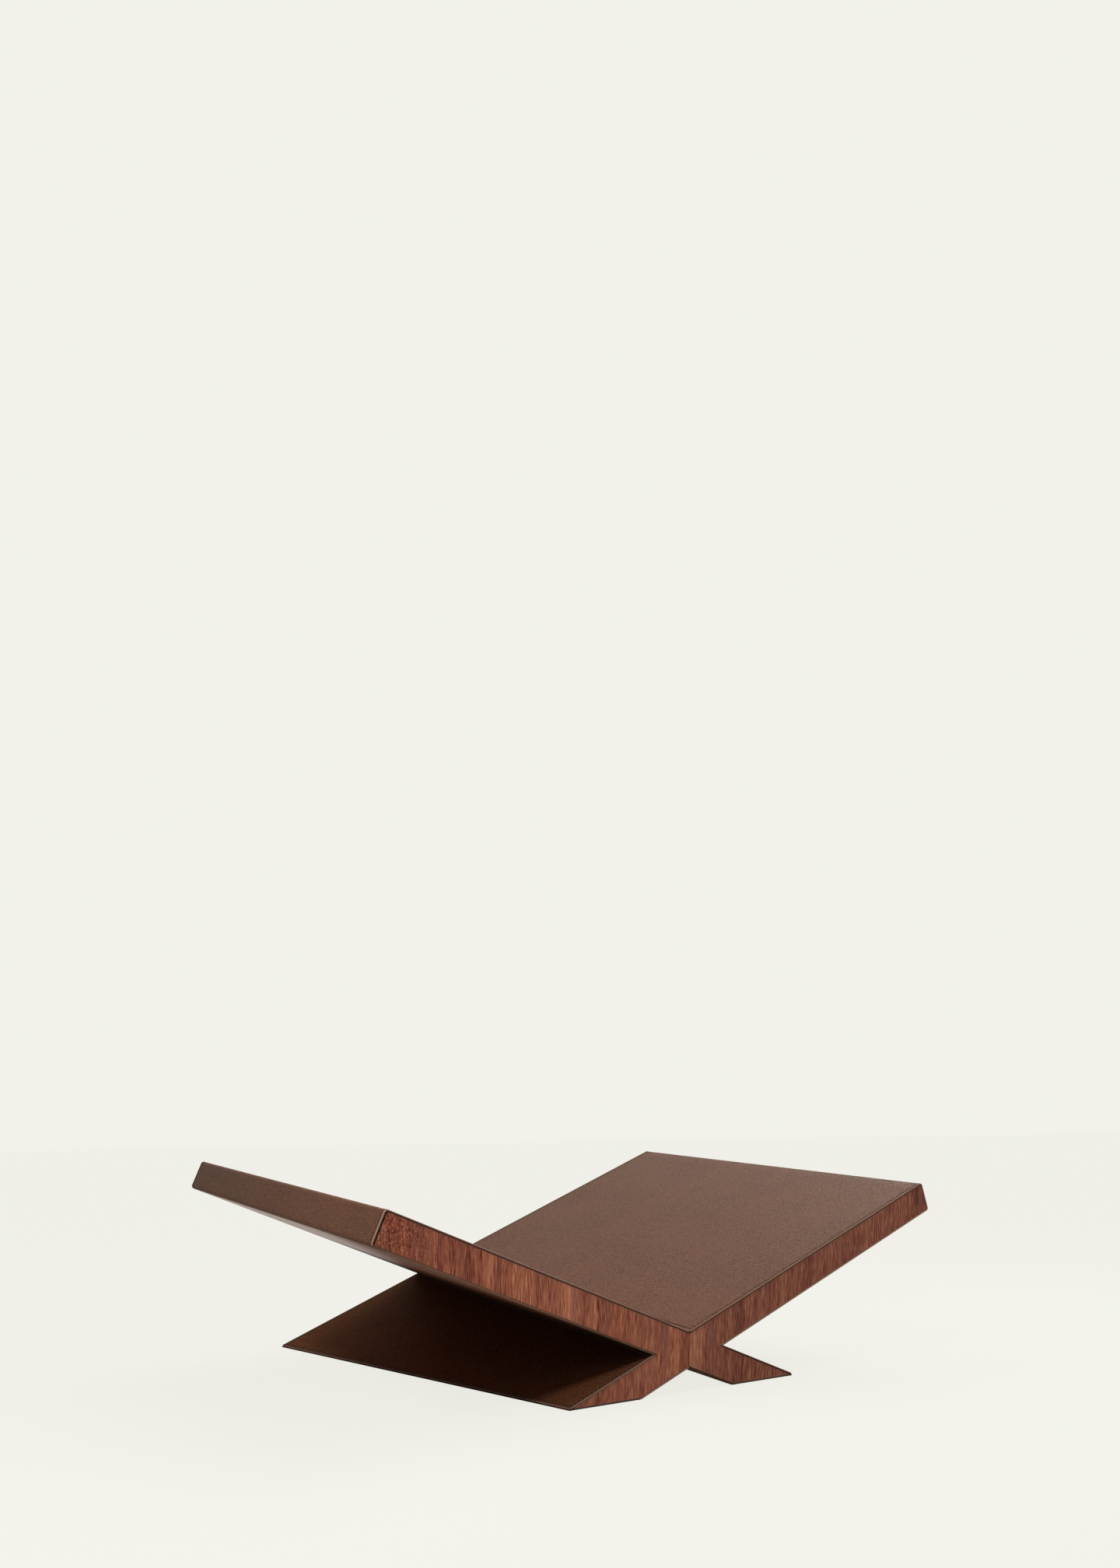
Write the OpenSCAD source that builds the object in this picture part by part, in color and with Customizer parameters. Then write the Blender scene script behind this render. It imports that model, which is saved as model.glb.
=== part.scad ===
// Book stand: two boards crossed in a low X, so that their upper arms cradle an open book.
// Every long face is covered in stitched leather, and both ends carry wood facings.
// Millimetres. +X right, +Y to the back, +Z up. The origin is under the middle of the stand.

/* [Panels] */
// Length of a reading panel, from the valley to its outer edge
panel_l = 212; // [150:1:300]
// Depth of the stand, measured along the valley
depth = 305; // [200:1:400]
// Slope of each reading panel above the level, in degrees
slope = 22.5; // [18:0.5:30]
// Rise of the valley towards the back, in degrees
lean = 4.1; // [0:0.1:6]
// Height of the valley above the table, at the front
valley_h = 35.6; // [33:0.1:60]
// Thickness of the core boards
board_t = 18; // [15:0.5:22]

/* [Leather] */
// Thickness of the leather
leather_t = 1; // [0.8:0.1:1.4]
// Radius of the leather over the outer edges of the panels
edge_r = 2; // [1.6:0.1:4]
// Height of the blunt nose at the tip of each leg
nose_h = 1.2; // [1.1:0.1:2]

/* [Facings] */
// Thickness of the wood facings
facing_t = 3; // [1:0.5:6]
// How far the leather stands out past the wood
reveal = 0.4; // [0:0.1:1]
// Gap between the edge of the wood and the leather
facing_gap = 0.3; // [0.1:0.1:0.6]
// Width of the joint between the two leaves of one end
seam_w = 0.2; // [0.1:0.1:0.5]

/* [Soles] */
// Thickness of the soles under the legs
sole_t = 1; // [0.6:0.1:2]
// How far a sole stays back from the nose of its leg
sole_inset = 2; // [1:0.5:6]

/* [Dowels] */
// Diameter of the dowels that pin the crossing
dowel_d = 8; // [6:1:10]
// Length of the dowels
dowel_l = 66; // [50:1:70]
// Number of dowels along the valley
dowel_count = 5; // [3:1:8]
// Distance from each end of the boards to the nearest dowel
dowel_margin = 30; // [20:1:60]
// Radial clearance of the dowels in their bores
dowel_clearance = 0.1; // [0.05:0.05:0.2]
// Room for glue past each end of a dowel
dowel_end_room = 1; // [0.5:0.5:2]

/* [Stitching] */
// Distance of the stitching from the edge of the leather
stitch_inset = 2.5; // [2:0.1:5]
// Width of the thread
thread_w = 0.6; // [0.4:0.1:1]
// Depth of the crease that the thread lies in, level with the leather
crease_d = 0.3; // [0.2:0.1:0.5]
// Clearance between the thread and each side of its crease
crease_gap = 0.1; // [0.05:0.05:0.2]

/* [Hidden] */
$fn = 48;

// Full thickness of a covered board
body_t = board_t + 2 * leather_t;
// Places along the right board, measured from the valley: positive runs out along the panel
inner_corner_x = body_t / tan(2 * slope);
leg_corner_x = -body_t / sin(2 * slope);
arch_apex_x = -body_t * tan(slope);
// Heights of the inner corners and of the middle of the crossing, measured from the valley
corner_v = -body_t / (2 * cos(slope));
// Smallest radius left on an outer edge under the leather
min_r = 0.1;
// Width of a crease, and how far its cut reaches out of the leather
crease_w = thread_w + 2 * crease_gap;
crease_over = crease_d;
// Reach of the cutting shapes, past every side of the stand
reach = 2 * (panel_l + depth);
// Where the core boards start and end along the valley
core_front = reveal + facing_t;
core_back = depth - core_front;
// Distance between neighbouring dowels
dowel_pitch = (core_back - core_front - 2 * dowel_margin) / (dowel_count - 1);
// Foremost and rearmost points of the stand, measured from the front of the valley
front_y = -(panel_l * sin(slope)) * sin(lean);
foot_drop = (valley_h + depth * sin(lean)) / cos(lean);
back_y = depth * cos(lean) + foot_drop * sin(lean);
shift_y = -(front_y + back_y) / 2;

core_colour = "#b08d62";
dowel_colour = "#cfae7c";
wood_colour = "#8a4f38";
leather_colour = "#77604f";
sole_colour = "#33261f";
thread_colour = "#5c473a";

// Places the frame of an end view at distance s along the valley, with its Z axis towards the front.
module station(s) {
    translate([0, shift_y, valley_h]) rotate([90 + lean, 0, 0]) translate([0, 0, -s]) children();
}

// Stretches an end view along the valley, from s0 to s1.
module lay(s0, s1) {
    station(s1) linear_extrude(s1 - s0) children();
}

// Everything between two heights above the table.
module level(z0, z1) {
    translate([-reach / 2, -reach / 2, z0]) cube([reach, reach, z1 - z0]);
}

// Parts of the end view on one side of the valley, and above or below the inner corners.
module right_of_valley() translate([0, -reach / 2]) square(reach);
module left_of_valley() mirror([1, 0]) right_of_valley();
module over_corners() translate([-reach / 2, corner_v]) square(reach);
module under_corners() mirror([0, 1]) translate([-reach / 2, -corner_v]) square(reach);

// Straight strip of the right board in the end view: x along it, y up from its reading face.
module strip(x0, x1, y0, y1) {
    rotate(slope) translate([x0, y0]) square([x1 - x0, y1 - y0]);
}

// End view of the right board, a distance d inside the outer face of the leather.
module board_outline(d) {
    r = max(edge_r - d, min_r);
    x1 = panel_l - d;
    top = -d;
    bottom = d - body_t;
    strip(-reach, x1 - r, bottom, top);
    strip(-reach, x1, bottom + r, top - r);
    rotate(slope) translate([x1 - r, top - r]) circle(r);
    rotate(slope) translate([x1 - r, bottom + r]) circle(r);
}

module left_board_outline(d) mirror([1, 0]) board_outline(d);

// Plan view of all that lies a distance d inside the nose of the left leg.
module inside_left_nose(d) {
    function tip_u(s) = -(valley_h - nose_h + s * sin(lean)) / (tan(slope) * cos(lean));
    function tip_y(s) = s * cos(lean) - tip_u(s) * tan(slope) * sin(lean) + shift_y;
    s0 = -depth;
    s1 = 2 * depth;
    polygon([
        [tip_u(s0) + d, tip_y(s0)], [tip_u(s1) + d, tip_y(s1)],
        [reach, tip_y(s1)], [reach, tip_y(s0)]
    ]);
}

module left_nose_block(d) linear_extrude(reach, center = true) inside_left_nose(d);

// Turns a piece of one side into its twin on the other.
module twin() mirror([1, 0, 0]) children();

// One row of pins across the crossing, along the slope of the left panel.
module dowel_row(diameter, length) {
    for (i = [0 : dowel_count - 1])
        station(core_front + dowel_margin + i * dowel_pitch)
            translate([0, corner_v, 0]) rotate([0, 0, -slope]) rotate([0, 90, 0])
                cylinder(d = diameter, h = length, center = true);
}

module dowel_bores() {
    dowel_row(dowel_d + 2 * dowel_clearance, dowel_l + 2 * dowel_end_room);
}

// Core boards: one runs through from the right panel to the left foot, two butt against it.
module core() {
    difference() {
        intersection() {
            lay(core_front, core_back) children();
            level(sole_t, reach);
        }
        dowel_bores();
    }
}

module through_board() {
    color(core_colour) core() board_outline(leather_t);
}

module left_panel_board() {
    color(core_colour) core() difference() {
        left_board_outline(leather_t);
        strip(-reach, reach, -reach, -leather_t);
    }
}

module right_leg_board() {
    color(core_colour) core() difference() {
        left_board_outline(leather_t);
        strip(-reach, reach, leather_t - body_t, reach);
    }
}

module dowels() {
    color(dowel_colour) dowel_row(dowel_d, dowel_l);
}

// Wood facings: each end has two leaves that meet at an upright joint in the middle.
module left_facing(s0) {
    color(wood_colour) intersection() {
        lay(s0, s0 + facing_t) difference() {
            union() {
                board_outline(leather_t + facing_gap);
                left_board_outline(leather_t + facing_gap);
            }
            translate([-seam_w / 2, -reach / 2]) square(reach);
        }
        level(sole_t, reach);
    }
}

module front_left_facing() left_facing(reveal);
module front_right_facing() twin() left_facing(reveal);
module back_left_facing() left_facing(core_back);
module back_right_facing() twin() left_facing(core_back);

// Rows of thread of width w that follow the front and the back edge of a leather piece.
module end_rows(w) {
    for (s = [stitch_inset, depth - stitch_inset])
        lay(s - w / 2, s + w / 2) children();
}

// One row of thread of width w along the depth, at x on the right board, from y0 up to y1.
module long_row(w, x, y0, y1) {
    lay(stitch_inset - w / 2, depth - stitch_inset + w / 2) strip(x - w / 2, x + w / 2, y0, y1);
}

// Rows of width w round the leather of the right panel, reaching a distance over out of it.
module right_panel_rows(w, over) {
    under_x = inner_corner_x + stitch_inset;
    end_rows(w) intersection() {
        difference() {
            board_outline(-over);
            board_outline(crease_d);
        }
        union() {
            strip(stitch_inset - w / 2, reach, -body_t / 2, reach);
            strip(under_x - w / 2, reach, -reach, -body_t / 2);
        }
    }
    long_row(w, stitch_inset, -crease_d, over);
    long_row(w, under_x, -body_t - over, crease_d - body_t);
}

// Rows of width w round the leather of the left leg.
module left_leg_rows(w, over) {
    corner_row_x = leg_corner_x - stitch_inset;
    corner_end_x = corner_row_x + w / 2;
    intersection() {
        union() {
            end_rows(w) strip(-reach, corner_end_x, -crease_d, over);
            long_row(w, corner_row_x, -crease_d, over);
            difference() {
                lay(stitch_inset, depth - stitch_inset) strip(-reach, corner_end_x, -crease_d, over);
                left_nose_block(stitch_inset + w / 2);
            }
        }
        left_nose_block(stitch_inset - w / 2);
    }
}

// Rows of width w round the leather of the left half of the arch.
module left_arch_rows(w, over) {
    apex_row_x = arch_apex_x - stitch_inset;
    apex_end_x = apex_row_x + w / 2;
    foot_row_z = (stitch_inset - w / 2) * sin(slope);
    intersection() {
        union() {
            end_rows(w) strip(-reach, apex_end_x, -body_t - over, crease_d - body_t);
            long_row(w, apex_row_x, -body_t - over, crease_d - body_t);
            intersection() {
                lay(stitch_inset, depth - stitch_inset)
                    strip(-reach, apex_end_x, -body_t - over, crease_d - body_t);
                level(foot_row_z, foot_row_z + w * sin(slope));
            }
        }
        level(foot_row_z, reach);
    }
}

// Leather over a panel: from the valley across the top, round the outer edge and back underneath.
module right_panel_leather() {
    color(leather_colour) difference() {
        lay(0, depth) intersection() {
            difference() {
                board_outline(0);
                board_outline(leather_t);
            }
            right_of_valley();
            over_corners();
        }
        right_panel_rows(crease_w, crease_over);
    }
}

module left_panel_leather() twin() right_panel_leather();

// Leather on top of a leg, from the inner corner down to the nose.
module left_leg_leather() {
    color(leather_colour) difference() {
        intersection() {
            lay(0, depth) intersection() {
                strip(-reach, 0, -leather_t, 0);
                under_corners();
            }
            level(0, reach);
            left_nose_block(0);
        }
        left_leg_rows(crease_w, crease_over);
    }
}

module right_leg_leather() twin() left_leg_leather();

// Leather under the arch between the legs.
module left_arch_leather() {
    color(leather_colour) difference() {
        intersection() {
            lay(0, depth) intersection() {
                strip(-reach, 0, -body_t, leather_t - body_t);
                left_of_valley();
            }
            level(0, reach);
        }
        left_arch_rows(crease_w, crease_over);
    }
}

module right_arch_leather() twin() left_arch_leather();

// Sole under the foot of a leg.
module left_sole() {
    color(sole_colour) intersection() {
        lay(reveal, depth - reveal) strip(-reach, 0, leather_t - body_t, -leather_t);
        level(0, sole_t);
        left_nose_block(sole_inset);
    }
}

module right_sole() twin() left_sole();

// Thread in the creases of each leather piece.
module right_panel_stitching() color(thread_colour) right_panel_rows(thread_w, 0);
module left_panel_stitching() twin() right_panel_stitching();
module left_leg_stitching() color(thread_colour) left_leg_rows(thread_w, 0);
module right_leg_stitching() twin() left_leg_stitching();
module left_arch_stitching() color(thread_colour) left_arch_rows(thread_w, 0);
module right_arch_stitching() twin() left_arch_stitching();

through_board();
left_panel_board();
right_leg_board();
dowels();
front_left_facing();
front_right_facing();
back_left_facing();
back_right_facing();
left_panel_leather();
right_panel_leather();
left_leg_leather();
right_leg_leather();
left_arch_leather();
right_arch_leather();
left_sole();
right_sole();
left_panel_stitching();
right_panel_stitching();
left_leg_stitching();
right_leg_stitching();
left_arch_stitching();
right_arch_stitching();
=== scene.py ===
"""Looks of a book stand: two crossed boards in stitched leather, with wood facings at both ends.

Sizes are millimetres, as in the solids, until a point is placed in the frame, which is in metres.
u runs across the stand, v up and s along the valley, which rises to the back.
x runs out along the right board from the valley and y up from its reading face.
a runs across a leather sheet, along its outer face.
"""
import math

import bpy
from mathutils import Matrix, Vector


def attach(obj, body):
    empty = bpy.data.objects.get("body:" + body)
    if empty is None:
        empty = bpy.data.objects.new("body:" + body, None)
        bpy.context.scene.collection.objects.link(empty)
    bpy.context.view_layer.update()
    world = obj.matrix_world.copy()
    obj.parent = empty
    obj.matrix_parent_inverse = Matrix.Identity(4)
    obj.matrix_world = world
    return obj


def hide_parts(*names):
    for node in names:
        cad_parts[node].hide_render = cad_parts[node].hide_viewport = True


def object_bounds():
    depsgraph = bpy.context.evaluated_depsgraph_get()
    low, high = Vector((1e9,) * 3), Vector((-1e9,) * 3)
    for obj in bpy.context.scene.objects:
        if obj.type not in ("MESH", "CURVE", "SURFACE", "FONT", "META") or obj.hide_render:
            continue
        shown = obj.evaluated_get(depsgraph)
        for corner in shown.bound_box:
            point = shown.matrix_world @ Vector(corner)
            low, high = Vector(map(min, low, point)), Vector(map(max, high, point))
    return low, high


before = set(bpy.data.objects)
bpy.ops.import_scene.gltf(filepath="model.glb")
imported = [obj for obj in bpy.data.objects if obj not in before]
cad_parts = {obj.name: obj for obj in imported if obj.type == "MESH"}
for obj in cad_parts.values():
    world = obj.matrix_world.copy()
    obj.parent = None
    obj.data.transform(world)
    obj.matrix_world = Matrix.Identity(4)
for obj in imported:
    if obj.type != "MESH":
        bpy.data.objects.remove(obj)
cad_low, cad_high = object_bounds()

MM = 0.001

# Sizes of the stand, as in the solids; NOSE_H is how high the leather of a leg ends over the table, and
# REVEAL how far facings and soles stand back from the leather's front and back edges
PANEL_L = 212.0
DEPTH = 305.0
SLOPE = math.radians(22.5)
LEAN = math.radians(4.1)
VALLEY_H = 35.6
LEATHER_T = 1.0
BODY_T = 20.0
EDGE_R = 2.0
NOSE_H = 1.2
FACING_T = 3.0
REVEAL = 0.4
SOLE_T = 1.0
STITCH_INSET = 2.5

# Gaps between leather and wood, wider at the left leaves' outer edge, and the joint between two leaves
FACING_GAP = 0.12
LEFT_OUTER_GAP = 0.7
SEAM_W = 0.4

# The nose of a leg: the radius of its corners in plan, and how far the end of the sole slopes back
NOSE_R = 2.0
SOLE_NOSE = 2.2

# Relief of the leather: a rolled edge, with a smaller roll where it meets another sheet in a corner,
# a low welt beside it, the crease of the stitching, a fine groove along the edges of the legs, and how
# far the border's painted highlight takes to fade
ROLL_R = 0.8
CORNER_ROLL_R = 0.2
WELT_INSET = 1.4
WELT_W = 0.7
WELT_H = 0.12
CREASE_W = 0.4
CREASE_D = 0.4
GROOVE_INSET = 0.95
GROOVE_W = 0.3
GROOVE_D = 0.1
BORDER_FADE = 0.5

# Where the painted highlight on the rolled edge sets in, in distances from the edge that count as negative,
# and the paint, round the roll from 0 on the flat to 1 at the cut
ROLL_HIGHLIGHT_FROM = (-0.95, -0.55)
PAINT_LOW = (0.78, 0.98)
PAINT_MIDDLE = (0.62, 0.9)
PAINT_HIGH = (0.4, 0.75)

# Finishes of the leather's edges: how much dark paint is on the cut, where over 1 makes it start sharply,
# how much painted highlight lies on the roll, how far the paint comes up the roll, and how much of it
# reaches the cut's inner side
PAINTED = (0.95, 0.2, PAINT_MIDDLE, 0.4)
INKED = (0.9, 0.2, PAINT_HIGH, 0.4)
LINED = (0.9, 0.1, PAINT_MIDDLE, 0.0)
PAINTED_AND_HIGHLIGHTED = (6.0, 1.0, PAINT_LOW, 1.0)
BEADED = (0.7, 0.4, PAINT_LOW, 0.7)
NOSED = (1.0, 0.5, PAINT_LOW, 1.0)
LIGHTLY_PAINTED = (0.3, 0.15, PAINT_LOW, 0.3)
BARE = (0.0, 0.7, PAINT_LOW, 0.0)

# Polish of the panels' undersides, a coat with a painted reflection of the floor in its colour: where it
# sets in and fades, from the outer edge inwards, how far from the front it takes to come in, and how much
# of it is there at the front
POLISH_AND_REFLECTION_START = (-0.5, 2.5)
POLISH_AND_REFLECTION_FADE = (80, 150)
POLISH_AND_REFLECTION_RISE = (0, 170)
POLISH_AND_REFLECTION_LEAST = 0.2

# Thread: how its stitches follow each other, their size, dip and slant, and their mesh
STITCH_PITCH = 3.0
STITCH_L = 2.3
THREAD_R = 0.27
STITCH_DIP = 0.3
STITCH_SLANT = math.radians(7)
STITCH_SIDES = 6
STITCH_RINGS = 5

# Small rounding of the hard pieces, and the strip beside it over which a painted highlight on a facing's
# edge fades
FACING_ROUND = 0.3
ARRIS_W = 0.4
SOLE_ROUND = 0.2
ROUND_STEPS = 3

# Where a leather sheet's mesh has its lines: close together near an edge, wide apart in the field
NEAR_EDGE = (
    0, 0.06, 0.15, 0.28, 0.45, 0.62, 0.8, 1.1, 1.4, 1.7, 1.95, 2.15, 2.32, 2.5, 2.68, 2.85, 3.05, 3.4, 4)
FIELD_STEP = 9.0
BEND_STEPS = 7

# Faces that meet at less than this look smooth
LEATHER_SMOOTH = math.radians(50)
THREAD_SMOOTH = math.radians(60)
HARD_SMOOTH = math.radians(35)

# What follows from the sizes: the inner corner under a panel and on a leg, the top of the arch, and how far
# the stand reaches to the front and back, which puts its middle on the frame's
COS = math.cos(SLOPE)
SIN = math.sin(SLOPE)
TAN = math.tan(SLOPE)
CORNER_X = BODY_T / math.tan(2 * SLOPE)
LEG_CORNER_X = -BODY_T / math.sin(2 * SLOPE)
ARCH_APEX_X = -BODY_T * TAN
FRONT_Y = -PANEL_L * SIN * math.sin(LEAN)
FOOT_DROP = (VALLEY_H + DEPTH * math.sin(LEAN)) / math.cos(LEAN)
BACK_Y = DEPTH * math.cos(LEAN) + FOOT_DROP * math.sin(LEAN)
SHIFT_Y = -(FRONT_Y + BACK_Y) / 2


def placed(u, v, s):
    """A point of the end view, s along the valley, in the frame."""
    y = s * math.cos(LEAN) - v * math.sin(LEAN) + SHIFT_Y
    z = VALLEY_H + s * math.sin(LEAN) + v * math.cos(LEAN)
    return Vector((u, y, z)) * MM


def level_v(z, s):
    """Height in the end view at s of everything z above the table."""
    return (z - VALLEY_H - s * math.sin(LEAN)) / math.cos(LEAN)


def from_board(x, y):
    """A point of the right board's own frame in the end view."""
    return x * COS - y * SIN, x * SIN + y * COS


def leg_reach(s):
    """Distance down a leg at s, from its inner corner to its tip."""
    tip_u = -(VALLEY_H - NOSE_H + s * math.sin(LEAN)) / (TAN * math.cos(LEAN))
    return LEG_CORNER_X - tip_u / COS


def spaced(start, end, step):
    """Even places from start to end, both left out."""
    count = max(1, round(abs(end - start) / step))
    return [start + (end - start) * i / count for i in range(1, count)]


def smooth(value, low, high):
    """0 below low, 1 above high, and smoothly between."""
    t = min(max((value - low) / (high - low), 0.0), 1.0)
    return t * t * (3 - 2 * t)


# Leather sheets: each has the length across it at s, the place and outward normal at a across it, the
# finish of its edge and the share of polish and painted reflection there, and the mesh lines of its field

class PanelSheet:
    """From the valley over the top of a panel, round its outer edge and back underneath."""

    FLAT = PANEL_L - EDGE_R
    BEND = EDGE_R * math.pi / 2
    UPRIGHT = BODY_T - 2 * EDGE_R
    LOWER_BEND = FLAT + BEND + UPRIGHT
    UNDERSIDE = LOWER_BEND + BEND
    start_mitre = -TAN
    end_mitre = -1 / TAN
    start_roll = ROLL_R
    end_roll = CORNER_ROLL_R
    groove = 0.0

    def __init__(self, top_finish, outer_finish, under_finish):
        self.top_finish = top_finish
        self.outer_finish = outer_finish
        self.under_finish = under_finish

    def length(self, s):
        return self.UNDERSIDE + self.FLAT - CORNER_X

    def station(self, a, s):
        turn = (a - self.FLAT) / EDGE_R
        if turn <= 0:
            return a, 0.0, 0.0, 1.0
        if turn <= math.pi / 2:
            nx, ny = math.sin(turn), math.cos(turn)
            return self.FLAT + EDGE_R * nx, EDGE_R * (ny - 1), nx, ny
        if a <= self.LOWER_BEND:
            return PANEL_L, self.FLAT + self.BEND - EDGE_R - a, 1.0, 0.0
        turn = (a - self.LOWER_BEND) / EDGE_R
        if turn <= math.pi / 2:
            nx, ny = math.cos(turn), -math.sin(turn)
            return self.FLAT + EDGE_R * nx, EDGE_R * (ny + 1) - BODY_T, nx, ny
        return self.FLAT + self.UNDERSIDE - a, -BODY_T, 0.0, -1.0

    def finish(self, a, s):
        if a < self.FLAT + self.BEND / 2:
            return self.top_finish
        return self.outer_finish if a < self.LOWER_BEND + self.BEND / 2 else self.under_finish

    def polish_and_reflection(self, a, s):
        inwards = a - self.UNDERSIDE
        across = smooth(inwards, *POLISH_AND_REFLECTION_START) - smooth(inwards, *POLISH_AND_REFLECTION_FADE)
        return across * (POLISH_AND_REFLECTION_LEAST + (1 - POLISH_AND_REFLECTION_LEAST) * smooth(s, *POLISH_AND_REFLECTION_RISE))

    def field(self, s):
        bend = [self.BEND * i / BEND_STEPS for i in range(BEND_STEPS + 1)]
        places = spaced(NEAR_EDGE[-1], self.FLAT, FIELD_STEP)
        places += [self.FLAT + round_bend for round_bend in bend]
        places += spaced(self.FLAT + self.BEND, self.LOWER_BEND, EDGE_R)
        places += [self.LOWER_BEND + round_bend for round_bend in bend]
        return places + spaced(self.UNDERSIDE, self.length(s) - NEAR_EDGE[-1], FIELD_STEP)


class LegSheet:
    """On top of a leg, from the inner corner down to the nose."""

    start_mitre = 1 / TAN
    end_mitre = -TAN
    start_roll = CORNER_ROLL_R
    end_roll = ROLL_R
    groove = 1.0

    def __init__(self, edge_finish, end_finish):
        self.edge_finish = edge_finish
        self.end_finish = end_finish

    def length(self, s):
        into_corner = max(0.0, NOSE_R - min(s, DEPTH - s))
        return leg_reach(s) - NOSE_R + math.sqrt(NOSE_R ** 2 - into_corner ** 2)

    def station(self, a, s):
        return LEG_CORNER_X - a, 0.0, 0.0, 1.0

    def finish(self, a, s):
        return self.end_finish if self.length(s) - a < ROLL_R else self.edge_finish

    def polish_and_reflection(self, a, s):
        return 0.0

    def field(self, s):
        start = NEAR_EDGE[-1]
        end = self.length(s) - start
        count = round(self.length(DEPTH / 2) / FIELD_STEP)
        return [start + (end - start) * i / count for i in range(1, count)]


class ArchSheet(LegSheet):
    """Under a leg, from the top of the arch down to the table."""

    start_mitre = TAN
    end_mitre = -1 / TAN
    end_roll = CORNER_ROLL_R
    groove = 0.0

    def length(self, s):
        return ARCH_APEX_X - (level_v(0, s) + BODY_T * COS) / SIN

    def station(self, a, s):
        return ARCH_APEX_X - a, -BODY_T, 0.0, -1.0


def sheet_point(sheet, side, a, s, height):
    """A point over a leather sheet, in the frame; side is 1, or -1 for the mirrored sheet."""
    x, y, nx, ny = sheet.station(a, s)
    u, v = from_board(x + nx * height, y + ny * height)
    return placed(side * u, v, s)


def inner_point(sheet, side, a, s):
    """A point of a leather sheet's inner face, drawn to the mitres at its ends."""
    x, y, nx, ny = sheet.station(a, s)
    mitre = sheet.start_mitre * max(0.0, 1 - a / NEAR_EDGE[-1])
    mitre += sheet.end_mitre * max(0.0, 1 - (sheet.length(s) - a) / NEAR_EDGE[-1])
    u, v = from_board(x - nx * LEATHER_T + mitre * LEATHER_T * abs(ny), y - ny * LEATHER_T)
    return placed(side * u, v, s)


def relief(sheet, from_start, from_end, along):
    """Height of the leather over its flat face, and the share of crease, border, painted highlight strip
    and roll.
    """
    across = min(from_start, from_end)
    roll_r = sheet.start_roll if from_start < from_end else sheet.end_roll
    reach = math.hypot(max(0.0, roll_r - across), max(0.0, ROLL_R - along))
    reach = min(reach / ROLL_R, 1.0)
    roll = ROLL_R * (1 - math.sqrt(1 - reach ** 2))
    inset = min(across, along)
    welt = math.exp(-((inset - WELT_INSET) / WELT_W) ** 2)
    crease = math.exp(-((inset - STITCH_INSET) / CREASE_W) ** 2)
    groove = sheet.groove * math.exp(-((inset - GROOVE_INSET) / GROOVE_W) ** 2)
    border = min(max((STITCH_INSET - inset) / BORDER_FADE, 0.0), 1.0)
    height = WELT_H * welt - CREASE_D * crease - GROOVE_D * groove - roll
    return height, max(crease, groove), border, smooth(-inset, *ROLL_HIGHLIGHT_FROM), reach


def turned_out(points, faces):
    """The faces of a closed mesh, all reversed if they were turned in."""
    volume = 0.0
    for first, *others in faces:
        for second, third in zip(others, others[1:]):
            volume += points[first].dot(points[second].cross(points[third]))
    return faces if volume > 0 else [tuple(reversed(face)) for face in faces]


def mesh_object(name, points, faces, smooth_angle):
    """A mesh of points and faces, smooth up to an angle."""
    mesh = bpy.data.meshes.new(name)
    mesh.from_pydata(points, [], faces)
    mesh.validate()
    mesh.shade_smooth()
    mesh.set_sharp_from_angle(angle=smooth_angle)
    made = bpy.data.objects.new(name, mesh)
    bpy.context.scene.collection.objects.link(made)
    return made


def give_numbers(piece, name, numbers):
    """Keeps one number for each point of a piece, for its material to read."""
    kept = piece.data.attributes.new(name, "FLOAT", "POINT")
    kept.data.foreach_set("value", numbers)


def sheet_faces(wide, deep):
    """Faces of a closed sheet: its outer and its inner grid of points, and the rim between them."""
    count = wide * deep
    faces = []
    for i in range(deep - 1):
        for j in range(wide - 1):
            a, b = i * wide + j, i * wide + j + 1
            c, d = b + wide, a + wide
            faces.append((a, b, c, d))
            faces.append((d + count, c + count, b + count, a + count))
    rim = list(range(wide)) + [i * wide + wide - 1 for i in range(1, deep)]
    rim += [(deep - 1) * wide + j for j in range(wide - 2, -1, -1)]
    rim += [i * wide for i in range(deep - 2, 0, -1)]
    for a, b in zip(rim, rim[1:] + rim[:1]):
        faces.append((b, a, a + count, b + count))
    return faces


def leather_piece(name, sheet, side):
    """The closed mesh of a leather sheet, with what its material reads at each point."""
    from_back = list(reversed(NEAR_EDGE))
    rows = list(NEAR_EDGE) + spaced(NEAR_EDGE[-1], DEPTH - NEAR_EDGE[-1], FIELD_STEP)
    rows += [DEPTH - d for d in from_back]
    outer, inner = [], []
    creases, borders, paints, roll_highlights, cuts, polish_and_reflection_shares = [], [], [], [], [], []
    for s in rows:
        length = sheet.length(s)
        places = list(NEAR_EDGE) + sheet.field(s) + [length - d for d in from_back]
        for a in places:
            height, crease, border, strip, reach = relief(sheet, a, length - a, min(s, DEPTH - s))
            outer.append(sheet_point(sheet, side, a, s, height))
            inner.append(inner_point(sheet, side, a, s))
            paint, roll_highlight, paint_from, cut_paint = sheet.finish(a, s)
            creases.append(crease)
            borders.append(border)
            polish_and_reflection_shares.append(sheet.polish_and_reflection(a, s))
            paints.append(min(paint * smooth(reach, *paint_from), 1.0))
            # share of painted highlight on the rolled edge
            roll_highlights.append(roll_highlight * strip)
            cuts.append(cut_paint)
    points = outer + inner
    wide = len(outer) // len(rows)
    faces = turned_out(points, sheet_faces(wide, len(rows)))
    piece = mesh_object(name, points, faces, LEATHER_SMOOTH)
    give_numbers(piece, "crease", creases + [0.0] * len(inner))
    give_numbers(piece, "border", borders + [1.0] * len(inner))
    give_numbers(piece, "roll_highlight", roll_highlights + roll_highlights)
    give_numbers(piece, "polish_and_reflection", polish_and_reflection_shares + polish_and_reflection_shares)
    give_numbers(piece, "paint", paints + cuts)
    return piece


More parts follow.
